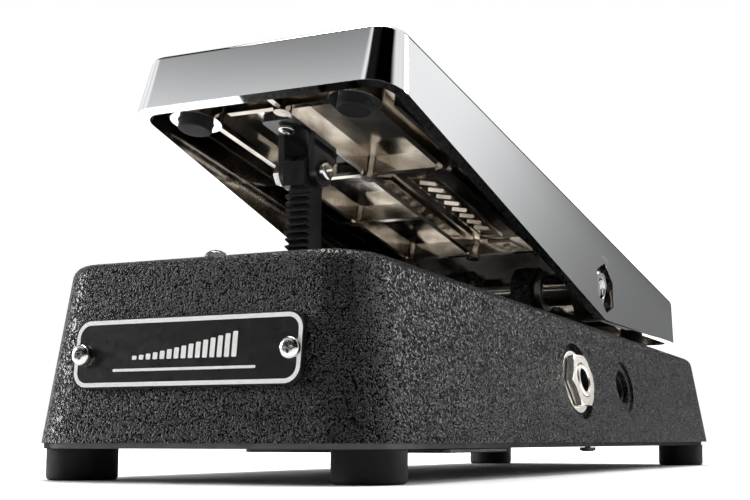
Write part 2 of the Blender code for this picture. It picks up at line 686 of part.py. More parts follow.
def make_rack_guide():
    near, far = RACK_BACK_Y + GAP, RACK_BACK_Y + 13.5
    roof = top_z(far) - HOUSING_ROOF - GAP
    thick, foot = 3.0, PINION_Z - 8.0
    outline = [(near, foot), (near + 3.4, foot), (near + 3.4, roof - thick), (far, roof - thick)]
    outline += [(far, roof), (near, roof)]
    guide = prism("rack_guide", outline, "x", RACK_X - 4.5, RACK_X + 4.5, WHITE_PLASTIC)
    cut(guide, upright("guide_hole", ROOF_SCREW_PLACES[1:], 1.4, 36.0, 50.0))
    roof_screw("rack_guide_screw", ROOF_SCREW_PLACES[1], roof - thick - GAP)


def make_pinion(axis):
    centre = (RACK_X, PINION_Y, PINION_Z)
    pinion = prism("pinion", involute_outline(), "x", -PINION_HALF_WIDTH, PINION_HALF_WIDTH, WHITE_PLASTIC)
    pinion.location = Vector(centre) * MM
    bore = turned("pinion_bore", [(POT_SHAFT + GAP, -5.0), (POT_SHAFT + GAP, 5.0)], "x", (0, 0, 0), 24)
    bore.location = Vector(centre) * MM
    cut(pinion, bore)
    end = PINION_HALF_WIDTH + 0.6
    profile = [(POT_SHAFT - 0.3, -end), (POT_SHAFT, -end + 0.3), (POT_SHAFT, POT_PLATE_HIGH + 3.4 - RACK_X)]
    shaft = turned("potentiometer_shaft", profile, "x", (0, 0, 0), 24, STEEL)
    shaft.location = Vector(centre) * MM
    hang(axis, pinion, shaft)


def rack_teeth():
    """The toothed edge, from the rack's foot up to the last tooth below its eye."""
    half = TOOTH_PITCH / 4 - BACKLASH / 2
    tip = half - GEAR_MODULE * tan(TOOTH_ANGLE)
    root = half + RACK_DEDENDUM * tan(TOOTH_ANGLE)
    outline = [(RACK_ROOT_Y, RACK_FOOT_Z)]
    z = PINION_Z
    while z + root < EYE_FOOT_Z - 1.0:
        outline += [(RACK_ROOT_Y, z - root), (RACK_TIP_Y, z - tip)]
        outline += [(RACK_TIP_Y, z + tip), (RACK_ROOT_Y, z + root)]
        z += TOOTH_PITCH
    return outline


def make_rack(axis):
    """A toothed bar. The slot in its eye lets the treadle's pin swing towards the toe."""
    eye_toe = PIN_Y - PIN_SWING - PIN_RADIUS - 1.8
    eye_heel = PIN_Y + PIN_RADIUS + 1.9
    top = PIN_Z + 3.8
    chamfer = 1.8
    outline = [(RACK_BACK_Y, RACK_FOOT_Z), *rack_teeth()]
    outline += [(RACK_ROOT_Y, EYE_FOOT_Z - 0.7), (eye_toe, EYE_FOOT_Z), (eye_toe, top - chamfer)]
    outline += [(eye_toe + chamfer, top), (eye_heel - chamfer, top), (eye_heel, top - chamfer)]
    outline += [(eye_heel, EYE_FOOT_Z), (RACK_BACK_Y, EYE_FOOT_Z - 1.5)]
    rack = prism("rack", outline, "x", RACK_X - RACK_HALF_WIDTH, RACK_X + RACK_HALF_WIDTH, BLACK_PLASTIC)
    radius = PIN_RADIUS + GAP
    low = (PIN_Y - PIN_SWING - radius, PIN_Z - radius)
    high = (PIN_Y + radius, PIN_Z + radius)
    slot = rounded_box_outline(low, high, (radius * 0.98,) * 4, 4)
    cut(rack, prism("rack_eye", slot, "x", RACK_X - 6, RACK_X + 6))
    hang(axis, rack)


def hang(axis, *pieces):
    """Parents pieces to the empty on their joint's axis, where they stand."""
    bpy.context.view_layer.update()
    for piece in pieces:
        piece.parent = axis
        piece.matrix_parent_inverse = axis.matrix_world.inverted()


def joint_axis(name, place):
    made = bpy.data.objects.new(name, None)
    made.location = Vector(place) * MM
    bpy.context.scene.collection.objects.link(made)
    bpy.context.view_layer.update()
    return made


# ---------------------------------------------------------------- treadle

ROOT = 0.8  # how far a union's shape reaches into the one it joins
BUMPER_RUN = 8.0
BUMPER_X = 23.0
BUMPER_RADIUS = 4.2
BUMPER_CUP = 6.4
BUMPER_PROUD = 1.7  # below the treadle's edge
BUMPER_SEAT = 12.4
HEEL_BUMPER_RUN = 203.0
HEEL_BUMPER_X = 26.0
HEEL_BUMPER_SEAT = 9.5
HEEL_BUMPER_DEPTH = 22.2
SHAFT_RADIUS = 3.0
SHAFT_END = 36.2
BOSS_RADIUS = 5.2
BOSS_INNER = 18.6
BUSH_FLANGE = 6.0
BUSH_FLANGE_IN = LUG_OUTER + 0.2
BUSH_FLANGE_OUT = LUG_OUTER + 0.8
POCKET_BOSS = 10.6
POCKET_FLOOR = 33.6
POCKET_CORNER = 8.4
BRACKET_SCREW_RUNS = (25.0, 45.5)


def treadle_point(x, run, depth):
    """A point of the treadle from its place under the treadle's own top face."""
    forward, down = run - PIVOT_RUN, depth - PIVOT_DEPTH
    y = PIVOT_Y + forward * cos(TREADLE_TILT) - down * sin(TREADLE_TILT)
    z = PIVOT_Z - forward * sin(TREADLE_TILT) - down * cos(TREADLE_TILT)
    return (x, y, z)


def edge_depth(run):
    """How deep the treadle's side wall hangs: deepest over the pivot, shallow at the toe and the heel."""
    if run < MID_RUN:
        return TOE_DEPTH + (MID_DEPTH - TOE_DEPTH) * max(run, 0.0) / MID_RUN
    return MID_DEPTH + (HEEL_DEPTH - MID_DEPTH) * (run - MID_RUN) / (TREADLE_LENGTH - MID_RUN)


def treadle_outline(inset):
    half = TREADLE_WIDTH / 2 - inset
    radii = (max(TREADLE_CORNER - inset, 0.6),) * 4
    outline = rounded_box_outline((-half, inset), (half, TREADLE_LENGTH - inset), radii)
    quarter = len(outline) // 4
    return outline[:2 * quarter] + [(half, MID_RUN)] + outline[2 * quarter:] + [(-half, MID_RUN)]


def treadle_ring(inset, depth=None):
    """A ring round the drafted wall. It follows the lower edge where no depth is given."""
    points = []
    for index, (_, run) in enumerate(treadle_outline(inset)):
        below = edge_depth(run) if depth is None else depth
        x, run = treadle_outline(inset - TREADLE_DRAFT * below)[index]
        points.append(treadle_point(x, run, below))
    return points


def treadle_prism(name, low_outline, low_depth, high_outline, high_depth, finish=None):
    """A solid between two outlines of (x, run) at two depths."""
    rings = [[treadle_point(x, run, depth) for x, run in outline]
             for outline, depth in ((low_outline, low_depth), (high_outline, high_depth))]
    return loft(name, rings, finish)


def treadle_turned(name, profile, x, run, sides, finish=None):
    """A solid turned from (radius, depth) steps about a line square to the treadle's top."""
    rings = []
    for radius, depth in profile:
        rings.append([treadle_point(x + a, run + b, depth) for a, b in circle(radius, sides)])
    return loft(name, rings, finish)


def rib_bar(x0, x1, run0, run1, depth):
    """A tapered rib that hangs from the roof, wider at the roof than at its lower edge."""
    def outline(grow):
        across = (grow, 0) if x1 - x0 < run1 - run0 else (0, grow)
        low = (x0 - across[0], run0 - across[1])
        high = (x1 + across[0], run1 + across[1])
        return [low, (high[0], low[1]), high, (low[0], high[1])]
    return treadle_prism("rib", outline(0.25), TREADLE_ROOF - ROOT, outline(-0.15), depth)


def long_rib(x, run0, run1, thick=RIB_THICK):
    return rib_bar(x - thick / 2, x + thick / 2, run0, run1, RIB_DEPTH)


def cross_rib(run, x0, x1):
    """Cross ribs stop a little short of the long ribs' lower edges."""
    return rib_bar(x0, x1, run - RIB_THICK / 2, run + RIB_THICK / 2, RIB_DEPTH - 0.4)


def treadle_ribs():
    """The long ribs, the cross ribs and the posts where they meet. No two shapes in a set overlap."""
    toe_end = TREADLE_WALL - ROOT
    heel_end = TREADLE_LENGTH - toe_end
    wall = TREADLE_WIDTH / 2 - TREADLE_WALL + 2 * ROOT
    long_ribs = [long_rib(0, toe_end, PIVOT_RUN - 22.0), long_rib(0, PIVOT_RUN + 22.0, heel_end)]
    for side in (-1, 1):
        long_ribs.append(long_rib(side * RIB_X, toe_end, heel_end))
        long_ribs.append(long_rib(side * WALL_RIB_X, 17.0, PIVOT_RUN - 18.0, 1.4))
    cross_ribs = [cross_rib(run, -wall, wall) for run in CROSS_RIB_RUNS]
    cross_ribs.append(cross_rib(HALF_RIB_RUN, -wall, 0.4))
    cross_ribs.append(cross_rib(FRONT_RIB_RUN, 0.6 - BUMPER_X + BUMPER_CUP, BUMPER_X - BUMPER_CUP - 0.6))
    crossings = [(x, run) for run in CROSS_RIB_RUNS for x in (-RIB_X, 0, RIB_X)]
    crossings += [(-RIB_X, HALF_RIB_RUN), (0, FRONT_RIB_RUN)]
    post = [(2.9, TREADLE_ROOF - ROOT), (2.2, RIB_DEPTH + 0.9)]
    posts = [treadle_turned("post", post, x, run, 10) for x, run in crossings]
    sets = (("long_ribs", long_ribs), ("cross_ribs", cross_ribs), ("rib_posts", posts))
    return [joined("treadle_" + name, shapes) for name, shapes in sets]


def treadle_emboss():
    """A raised frame on the underside of the roof, and slanting bars inside it."""
    def outline(inset):
        low = (EMBOSS_LOW[0] + inset, EMBOSS_LOW[1] + inset)
        high = (EMBOSS_HIGH[0] - inset, EMBOSS_HIGH[1] - inset)
        return [low, (high[0], low[1]), high, (low[0], high[1])]
    foot = TREADLE_ROOF + EMBOSS_HEIGHT
    pad = treadle_prism("treadle_pad", outline(0), TREADLE_ROOF - ROOT, outline(0.2), foot)
    well = treadle_prism("treadle_well", outline(1.0), TREADLE_ROOF + 0.2, outline(0.8), foot + 1.0)
    bars = []
    x0, x1 = EMBOSS_LOW[0] + 2.2, EMBOSS_HIGH[0] - 2.2
    for step in range(8):
        run = EMBOSS_LOW[1] + 4.0 + 5.2 * step
        bar = [(x0, run), (x0, run + 1.3), (x1, run + 3.5), (x1, run + 2.2)]
        bars.append(treadle_prism("bar", bar, TREADLE_ROOF - ROOT, bar, foot))
    return pad, well, joined("treadle_bars", bars)


def pivot_line(name, radius, low, high, sides=32, phase=0.0):
    """A turned length on the pivot's axis."""
    return turned(name, [(radius, low), (radius, high)], "x", (0, PIVOT_Y, PIVOT_Z), sides, phase=phase)


def treadle_bosses(treadle):
    """The nut pockets' bosses, the sleeves that reach in from them, and the bumpers' cups."""
    wall = TREADLE_WIDTH / 2 + TREADLE_DRAFT * PIVOT_DEPTH
    pockets, sleeves, cups = [], [], []
    for side in (-1, 1):
        pockets.append(pivot_line("boss", POCKET_BOSS, *side_span(side, POCKET_FLOOR - 3.2, wall - 1.0)))
        sleeves.append(pivot_line("sleeve", BOSS_RADIUS, *side_span(side, BOSS_INNER, POCKET_FLOOR - 1.0)))
        toe_cup = [(BUMPER_CUP + 0.5, TREADLE_ROOF - ROOT), (BUMPER_CUP, edge_depth(BUMPER_RUN) - 0.6)]
        heel_cup = [(BUMPER_CUP + 0.4, TREADLE_ROOF - ROOT), (BUMPER_CUP - 0.2, RIB_DEPTH + 0.6)]
        cups.append(treadle_turned("cup", toe_cup, side * BUMPER_X, BUMPER_RUN, 32))
        cups.append(treadle_turned("cup", heel_cup, side * HEEL_BUMPER_X, HEEL_BUMPER_RUN, 24))
    add(treadle, joined("treadle_pockets", pockets))
    add(treadle, joined("treadle_sleeves", sleeves))
    add(treadle, joined("treadle_cups", cups))


def treadle_bores(treadle):
    """The shaft's bore, the bumpers' bores, the bracket's screw holes and the nuts' hexagonal pockets."""
    bores = [pivot_line("bore", SHAFT_RADIUS + GAP, -45.0, 45.0)]
    radius = BUMPER_RADIUS + GAP
    for side in (-1, 1):
        toe_bore = [(radius, BUMPER_SEAT), (radius, MID_DEPTH)]
        heel_bore = [(radius, HEEL_BUMPER_SEAT), (radius, MID_DEPTH)]
        bores.append(treadle_turned("bore", toe_bore, side * BUMPER_X, BUMPER_RUN, 32))
        bores.append(treadle_turned("bore", heel_bore, side * HEEL_BUMPER_X, HEEL_BUMPER_RUN, 24))
    for run in BRACKET_SCREW_RUNS:
        hole = [(SCREW_CORE + GAP, TREADLE_ROOF - 2.2), (SCREW_CORE + GAP, RIB_DEPTH)]
        bores.append(treadle_turned("hole", hole, RACK_X, run, 12))
    cut(treadle, joined("treadle_bores", bores))
    hexagons = []
    for side in (-1, 1):
        low, high = side_span(side, POCKET_FLOOR, WIDTH / 2)
        hexagons.append(pivot_line("pocket", POCKET_CORNER, low, high, 6, pi / 2 - TREADLE_TILT))
    cut(treadle, joined("treadle_nut_pockets", hexagons))


def mat_outline(margin, corner):
    half = TREADLE_WIDTH / 2 - margin
    return rounded_box_outline((-half, margin), (half, TREADLE_LENGTH - margin), (corner,) * 4, 4)


def make_treadle(axis):
    rings = [treadle_ring(inset, drop) for inset, drop in edge_round(TREADLE_EDGE_ROUND, 3)]
    rings += [treadle_ring(0.0), treadle_ring(TREADLE_WALL), treadle_ring(TREADLE_WALL, TREADLE_ROOF)]
    treadle = loft("treadle", rings, CHROME)
    for ribs in treadle_ribs():
        add(treadle, ribs)
    pad, well, bars = treadle_emboss()
    add(treadle, pad)
    cut(treadle, well)
    add(treadle, bars)
    treadle_bosses(treadle)
    treadle_bores(treadle)
    recess = mat_outline(MAT_MARGIN, MAT_CORNER)
    cut(treadle, treadle_prism("mat_recess", recess, -2.0, recess, MAT_RECESS))
    hang(axis, treadle)


def make_tread_mat(axis):
    """The inset mat, with grooves across it."""
    outline = mat_outline(MAT_MARGIN + GAP, MAT_CORNER - GAP)
    mat = treadle_prism("tread_mat", outline, 0.1, outline, MAT_RECESS - GAP, RUBBER)
    half = TREADLE_WIDTH / 2
    grooves = []
    run = MAT_MARGIN + 8.0
    while run < TREADLE_LENGTH - MAT_MARGIN - 8.0:
        end = run + MAT_GROOVE_WIDTH
        stripe = [(-half, run), (half, run), (half, end), (-half, end)]
        grooves.append(treadle_prism("groove", stripe, -1.0, stripe, MAT_GROOVE_DEPTH))
        run += MAT_GROOVE_PITCH
    cut(mat, joined("mat_grooves", grooves))
    hang(axis, mat)


def make_bumpers(axis):
    toe_foot = edge_depth(BUMPER_RUN) + BUMPER_PROUD
    places = (("bumper_toe", BUMPER_X, BUMPER_RUN, BUMPER_SEAT, toe_foot),
              ("bumper_heel", HEEL_BUMPER_X, HEEL_BUMPER_RUN, HEEL_BUMPER_SEAT, HEEL_BUMPER_DEPTH))
    for name, x, run, seat, foot in places:
        profile = [(BUMPER_RADIUS, seat + GAP), (BUMPER_RADIUS, foot - 0.5)]
        profile += [(BUMPER_RADIUS - 0.15, foot - 0.15), (BUMPER_RADIUS - 0.5, foot)]
        for side, hand in ((-1, "left"), (1, "right")):
            hang(axis, treadle_turned(f"{name}_{hand}", profile, side * x, run, 28, RUBBER))


EAR_INNER = RACK_HALF_WIDTH + 0.4
EAR_THICK = 1.9
EAR_ROUND = 4.2
EAR_ROOT = 6.5
FLANGE_THICK = 2.4


def make_rack_bracket(axis):
    """A flange under the treadle's roof, and two ears that take the rack's pin."""
    flange_top = TREADLE_ROOF + GAP
    flange_foot = flange_top + FLANGE_THICK
    width = EAR_INNER + EAR_THICK
    low, high = (RACK_X - width, BRACKET_SCREW_RUNS[0] - 4.0), (RACK_X + width, BRACKET_SCREW_RUNS[1] + 3.5)
    outline = rounded_box_outline(low, high, (1.5,) * 4, 2)
    bracket = treadle_prism("rack_bracket", outline, flange_top, outline, flange_foot, BLACK_PLASTIC)
    _, toe_y, toe_z = treadle_point(0, 0, 0)
    pin_run = (PIN_Y - toe_y) * cos(TREADLE_TILT) + (toe_z - PIN_Z) * sin(TREADLE_TILT)
    root = [treadle_point(0, pin_run + step, flange_foot - ROOT)[1:] for step in (-EAR_ROOT, EAR_ROOT)]
    spread = [radians(a) for a in range(-170, 11, 20)]
    round_end = [(PIN_Y + EAR_ROUND * cos(t), PIN_Z + EAR_ROUND * sin(t)) for t in spread]
    ears = []
    for side in (-1, 1):
        low, high = sorted((RACK_X + side * EAR_INNER, RACK_X + side * width))
        ears.append(prism("ear", [root[0], *round_end, root[1]], "x", low, high))
    add(bracket, joined("rack_ears", ears))
    pin_bore = [(PIN_RADIUS + GAP, -20.0), (PIN_RADIUS + GAP, 10.0)]
    tools = [turned("hole", pin_bore, "x", (0, PIN_Y, PIN_Z), 20)]
    for run in BRACKET_SCREW_RUNS:
        tools.append(treadle_turned("hole", [(1.5, 0.0), (1.5, RIB_DEPTH)], RACK_X, run, 14))
    cut(bracket, joined("rack_bracket_holes", tools))
    hang(axis, bracket)
    under = flange_foot + GAP
    profile = [(SCREW_CORE, TREADLE_ROOF - 1.8), (SCREW_CORE, under), (2.2, under), (2.2, under + 0.8)]
    profile.append((1.4, under + 1.4))
    for name, run in zip(("toe", "heel"), BRACKET_SCREW_RUNS):
        hang(axis, treadle_turned(f"rack_bracket_screw_{name}", profile, RACK_X, run, 16, STEEL))
    make_rack_pin(axis, width + GAP)


def make_rack_pin(axis, reach):
    """The headed pin through both ears, and its nut."""
    centre = (RACK_X, PIN_Y, PIN_Z)
    shank = [(PIN_RADIUS, -reach - 2.6), (PIN_RADIUS, reach)]
    head = [(2.7, reach), (2.7, reach + 0.8), (2.2, reach + 1.4), (1.1, reach + 1.7)]
    pin = turned("rack_pin", shank + head, "x", centre, 24, STEEL)
    bore = PIN_RADIUS + GAP
    nut = nut_ring("rack_pin_nut", "x", centre, 5.5, bore, -reach, -reach - 2.2, STEEL, 24)
    hang(axis, pin, nut)


def make_pivot(axis):
    """The shaft, its nuts and washers turn with the treadle. The bushes stay in the housing's lugs."""
    centre = (0, PIVOT_Y, PIVOT_Z)
    chamfer = 0.5
    half = [(SHAFT_RADIUS, SHAFT_END - chamfer), (SHAFT_RADIUS - chamfer, SHAFT_END)]
    profile = [(radius, -reach) for radius, reach in reversed(half)] + half
    hang(axis, turned("pivot_shaft", profile, "x", centre, 28, STEEL))
    bore = SHAFT_RADIUS + GAP
    for side, hand in ((-1, "left"), (1, "right")):
        inner, outer = side * (POCKET_FLOOR + GAP), side * (POCKET_FLOOR + 3.4)
        nut = nut_ring(f"pivot_nut_{hand}", "x", centre, 10.0, bore, inner, outer, CHROME, 36)
        low, high = side_span(side, LUG_OUTER + 1.0, BOSS_INNER - GAP)
        washer = [(bore, low), (6.5, low), (6.5, high), (bore, high)]
        hang(axis, nut, ring(f"pivot_washer_{hand}", washer, "x", centre, 32, STEEL))
        steps = ((bore, LUG_INNER), (BUSH_RADIUS, LUG_INNER), (BUSH_RADIUS, BUSH_FLANGE_IN),
                 (BUSH_FLANGE, BUSH_FLANGE_IN), (BUSH_FLANGE, BUSH_FLANGE_OUT), (bore, BUSH_FLANGE_OUT))
        bush = [(radius, side * reach) for radius, reach in steps]
        ring(f"pivot_bush_{hand}", bush, "x", centre, 32, BRASS)


def build():
    make_housing()
    make_nameplate()
    make_light()
    make_base_plate()
    make_battery()
    make_feet()
    make_jacks()
    make_power_jack()
    make_board()
    make_drive_mount()
    make_pinion(joint_axis("pinion_axis", (RACK_X, PINION_Y, PINION_Z)))
    make_rack(joint_axis("rack_axis", (RACK_X, PIN_Y, PIN_Z)))
    treadle_axis = joint_axis("treadle_axis", (0, PIVOT_Y, PIVOT_Z))
    make_treadle(treadle_axis)
    make_tread_mat(treadle_axis)
    make_bumpers(treadle_axis)
    make_rack_bracket(treadle_axis)
    make_pivot(treadle_axis)


build()
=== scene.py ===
"""Looks for the rocker volume pedal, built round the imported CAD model.

Everything is in metres in the CAD's own frame: X runs across the pedal, Y from its toe end (-Y) to its
heel end (+Y), and Z up from the floor.
"""

import json
from math import cos, pi, radians, sin

import bmesh
import bpy
from mathutils import Matrix, Vector


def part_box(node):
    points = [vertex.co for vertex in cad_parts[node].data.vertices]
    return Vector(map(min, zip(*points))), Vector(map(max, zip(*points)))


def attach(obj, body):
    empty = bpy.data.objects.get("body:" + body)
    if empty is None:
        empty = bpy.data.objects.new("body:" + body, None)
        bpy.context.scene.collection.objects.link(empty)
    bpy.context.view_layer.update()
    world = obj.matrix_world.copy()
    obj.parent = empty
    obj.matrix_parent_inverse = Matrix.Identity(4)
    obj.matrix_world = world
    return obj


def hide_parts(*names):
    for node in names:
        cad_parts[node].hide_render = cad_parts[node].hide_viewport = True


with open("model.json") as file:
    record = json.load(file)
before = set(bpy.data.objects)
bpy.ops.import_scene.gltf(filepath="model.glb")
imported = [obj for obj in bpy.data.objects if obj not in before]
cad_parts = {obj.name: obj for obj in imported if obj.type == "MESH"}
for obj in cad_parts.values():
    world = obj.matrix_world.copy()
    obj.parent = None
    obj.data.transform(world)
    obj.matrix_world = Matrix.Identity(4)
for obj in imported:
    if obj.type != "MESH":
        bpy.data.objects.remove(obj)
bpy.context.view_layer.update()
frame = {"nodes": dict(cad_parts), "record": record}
NODES = frame["nodes"]
BODIES = frame["record"]["behaviour"]["bodies"]
BODY_OF = {node: body for body, nodes in BODIES.items() for node in nodes}
MM = 0.001
CAD_GAP = 0.29 * MM  # nearly all of the space that the CAD keeps between pieces that touch
ACROSS = Vector((1, 0, 0))
UP = Vector((0, 0, 1))
TOEWARDS = Vector((0, -1, 0))


# ---------------------------------------------------------------- materials


class NodeTree:
    """Short ways of adding nodes to a material or a world."""

    def __init__(self, owner):
        owner.use_nodes = True
        self.tree = owner.node_tree

    def feed(self, socket, value):
        if isinstance(value, bpy.types.NodeSocket):
            self.tree.links.new(value, socket)
        else:
            socket.default_value = value

    def node(self, kind, inputs=(), **settings):
        made = self.tree.nodes.new(kind)
        for key, value in settings.items():
            setattr(made, key, value)
        for key, value in dict(inputs).items():
            self.feed(made.inputs[key], value)
        return made

    def spread(self, value, low, high, to_low, to_high, **settings):
        """Moves a value from one range to another, and holds it at that range's ends."""
        inputs = {"Value": value, "From Min": low, "From Max": high, "To Min": to_low, "To Max": to_high}
        return self.node("ShaderNodeMapRange", inputs, **settings).outputs["Result"]

    def sums(self, operation, a, b):
        return self.node("ShaderNodeMath", {0: a, 1: b}, operation=operation).outputs[0]

    def vector_sums(self, operation, inputs, output=0):
        return self.node("ShaderNodeVectorMath", inputs, operation=operation).outputs[output]


class Surface(NodeTree):
    """A Principled material with procedural detail."""

    def __init__(self, name, colour, roughness, metallic=0.0, **sockets):
        self.material = bpy.data.materials.new(name)
        super().__init__(self.material)
        self.shader = self.tree.nodes["Principled BSDF"]
        self.place = self.node("ShaderNodeTexCoord").outputs["Object"]
        self.colour = (*colour, 1.0)
        self.set("Base Color", self.colour)
        self.set("Roughness", roughness)
        self.set("Metallic", metallic)
        for socket, value in sockets.items():
            self.set(socket.replace("_", " "), value)

    def set(self, socket, value):
        self.feed(self.shader.inputs[socket], value)

    def noise(self, size, detail=3.0, at=None, stretch=None):
        """Noise whose features are about the given size across, from 0 to 1."""
        at = at or self.place
        if stretch:
            at = self.node("ShaderNodeMapping", {"Vector": at, "Scale": stretch}).outputs["Vector"]
        inputs = {"Vector": at, "Scale": 1 / size, "Detail": detail}
        return self.node("ShaderNodeTexNoise", inputs).outputs["Fac"]

    def cell_edges(self, size):
        """The distance to the nearest edge between cells that are about the given size across."""
        inputs = {"Vector": self.place, "Scale": 1 / size}
        return self.node("ShaderNodeTexVoronoi", inputs, feature="DISTANCE_TO_EDGE").outputs["Distance"]

    def warped(self, size, amount):
        """The object's own coordinates, pushed about by noise."""
        inputs = {"Vector": self.place, "Scale": 1 / size, "Detail": 2.0}
        push = self.node("ShaderNodeTexNoise", inputs).outputs["Color"]
        centred = self.vector_sums("SUBTRACT", {0: push, 1: (0.5, 0.5, 0.5)})
        scaled = self.vector_sums("SCALE", {0: centred, "Scale": amount})
        return self.vector_sums("ADD", {0: self.place, 1: scaled})

    def tint(self, share, other):
        """The base colour, blended towards another by a share from 0 to 1."""
        mix = self.node("ShaderNodeMix", {"Factor": share}, data_type="RGBA")
        first, second = [socket for socket in mix.inputs if socket.type == "RGBA"]
        first.default_value = self.colour
        second.default_value = (*other, 1.0)
        self.set("Base Color", next(socket for socket in mix.outputs if socket.type == "RGBA"))

    def bump(self, height, depth, strength=1.0):
        """Relief from a height, on top of any relief that is already there."""
        inputs = {"Height": height, "Distance": depth, "Strength": strength}
        made = self.node("ShaderNodeBump", inputs)
        normal = self.shader.inputs["Normal"]
        if normal.links:
            self.feed(made.inputs["Normal"], normal.links[0].from_socket)
        self.feed(normal, made.outputs["Normal"])


def crinkle_coat():
    """Black wrinkle-finish powder coat: small satin plateaus with creases between them, which are darkened
    by painted shade.
    """
    coat = Surface("crinkle_coat", (0.0010, 0.0010, 0.0011), 0.30, Specular_IOR_Level=0.16)
    bent = coat.warped(0.8 * MM, 0.6 * MM)
    from_crease = coat.sums("ABSOLUTE", coat.sums("SUBTRACT", coat.noise(0.80 * MM, 1.5, bent), 0.5), 0.0)
    plateaus = coat.spread(from_crease, 0.015, 0.11, 0.0, 1.0)
    fine = coat.noise(0.40 * MM, 2.0)
    height = coat.sums("ADD", plateaus, coat.sums("MULTIPLY", fine, 0.6))
    coat.bump(height, 0.20 * MM)
    # Painted shade and highlight: the crests get a lighter colour, so that the creases between them stay
    # black.
    coat.tint(coat.spread(height, 1.15, 1.45, 0.0, 1.0), (0.014, 0.014, 0.0145))
    # Painted shade: the specular level falls from the crests into the creases, standing in for the shadow
    # that the creases cast on themselves.
    coat.set("Specular IOR Level", coat.spread(height, 0.40, 1.25, 0.01, 0.64))
    patches = coat.noise(14 * MM, 4.0)
    coat.set("Roughness", coat.spread(coat.sums("ADD", height, patches), 0.8, 2.0, 0.42, 0.24))
    return coat.material


def mirror_chrome():
    """Mirror plating, with the faint haze of handling and fine polishing lines."""
    chrome = Surface("mirror_chrome", (0.83, 0.84, 0.85), 0.05, 1.0)
    haze = chrome.noise(32 * MM, 5.0)
    lines = chrome.noise(0.5 * MM, 4.0, stretch=(6.0, 0.12, 6.0))
    dulling = chrome.sums("ADD", haze, chrome.sums("MULTIPLY", lines, 0.25))
    chrome.set("Roughness", chrome.spread(dulling, 0.45, 0.95, 0.025, 0.075))
    chrome.bump(chrome.noise(70 * MM, 1.0, stretch=(1.0, 0.3, 1.0)), 0.9 * MM, 0.35)
    return chrome.material


def underside_nickel():
    """The casting's inside, where the plating is thin: warm nickel over an as-cast skin."""
    nickel = Surface("underside_nickel", (0.40, 0.36, 0.31), 0.12, 1.0)
    patches = nickel.noise(16 * MM, 5.0)
    nickel.tint(nickel.spread(patches, 0.42, 0.60, 0.0, 1.0), (0.70, 0.66, 0.60))
    grain = nickel.noise(0.8 * MM, 3.0)
    nickel.set("Roughness", nickel.spread(nickel.sums("ADD", patches, grain), 0.7, 1.3, 0.07, 0.17))
    nickel.bump(grain, 0.02 * MM, 0.5)
    nickel.bump(nickel.noise(13 * MM, 2.0), 0.14 * MM, 0.5)
    return nickel.material


def plated_steel(name, colour, roughness, line_size=0.35):
    """Machined steel with fine turning marks and slight tarnish."""
    steel = Surface(name, colour, roughness, 1.0)
    tarnish = steel.noise(5 * MM, 4.0)
    steel.tint(steel.spread(tarnish, 0.4, 0.75, 0.0, 0.6), tuple(c * 0.72 for c in colour))
    marks = steel.noise(line_size * MM, 3.0, stretch=(5.0, 1.0, 1.0))
    steel.set("Roughness", steel.spread(marks, 0.3, 0.7, roughness * 0.8, roughness * 1.35))
    steel.bump(marks, 0.02 * MM, 0.6)
    return steel.material


def satin_dark_steel():
    """The base plate: blackened sheet with a satin, slightly mottled skin."""
    steel = Surface("satin_dark_steel", (0.105, 0.102, 0.098), 0.40, 1.0,
                    Specular_Tint=(0.15, 0.15, 0.15, 1.0))
    mottle = steel.noise(7 * MM, 5.0)
    steel.tint(steel.spread(mottle, 0.35, 0.7, 0.0, 1.0), (0.070, 0.070, 0.070))
    grain = steel.noise(0.4 * MM, 2.0, stretch=(1.0, 0.15, 1.0))
    steel.set("Roughness", steel.spread(steel.sums("ADD", mottle, grain), 0.7, 1.3, 0.28, 0.46))
    steel.bump(grain, 0.02 * MM, 0.7)
    return steel.material


def rubber(name, colour, worn):
    """Moulded rubber: a dull skin with fine grain, paler where it is scuffed."""
    made = Surface(name, colour, 0.62, Specular_IOR_Level=0.2)
    scuffs = made.noise(4 * MM, 6.0)
    grain = made.noise(0.30 * MM, 3.0)
    paleness = made.sums("ADD", scuffs, made.sums("MULTIPLY", grain, 0.3))
    made.tint(made.spread(paleness, 0.6, 1.0, 0.0, 1.0), worn)
    made.set("Roughness", made.spread(scuffs, 0.3, 0.7, 0.52, 0.74))
    made.bump(grain, 0.05 * MM, 0.7)
    return made.material


def moulded_plastic(name, colour, roughness, grain_size=0.45):
    """Moulded plastic with a spark-eroded grain and slight flow marks."""
    made = Surface(name, colour, roughness)
    grain = made.noise(grain_size * MM, 3.0)
    flow = made.noise(6 * MM, 4.0, stretch=(1.0, 1.0, 0.35))
    paler = tuple(min(1.0, c * 1.5 + 0.004) for c in colour)
    made.tint(made.spread(flow, 0.35, 0.75, 0.0, 0.7), paler)
    made.set("Roughness", made.spread(flow, 0.3, 0.7, roughness * 0.85, roughness * 1.2))
    made.bump(grain, 0.03 * MM, 0.6)
    return made.material


def plate_enamel():
    """The nameplate's black enamel, with the slightest orange peel."""
    enamel = Surface("plate_enamel", (0.006, 0.006, 0.007), 0.30, Coat_Weight=0.2, Coat_Roughness=0.15)
    enamel.bump(enamel.noise(0.9 * MM, 2.0), 0.02 * MM, 0.5)
    dust = enamel.noise(2.2 * MM, 5.0)
    enamel.tint(enamel.spread(dust, 0.55, 0.8, 0.0, 0.6), (0.014, 0.014, 0.015))
    enamel.set("Roughness", enamel.spread(dust, 0.3, 0.7, 0.27, 0.33))
    return enamel.material


def print_white():
    """Screen-printed white ink, slightly worn."""
    ink = Surface("print_white", (0.80, 0.80, 0.78), 0.42)
    wear = ink.noise(1.4 * MM, 5.0)
    ink.tint(ink.spread(wear, 0.5, 0.8, 0.0, 0.6), (0.66, 0.66, 0.64))
    ink.bump(wear, 0.01 * MM, 0.5)
    return ink.material


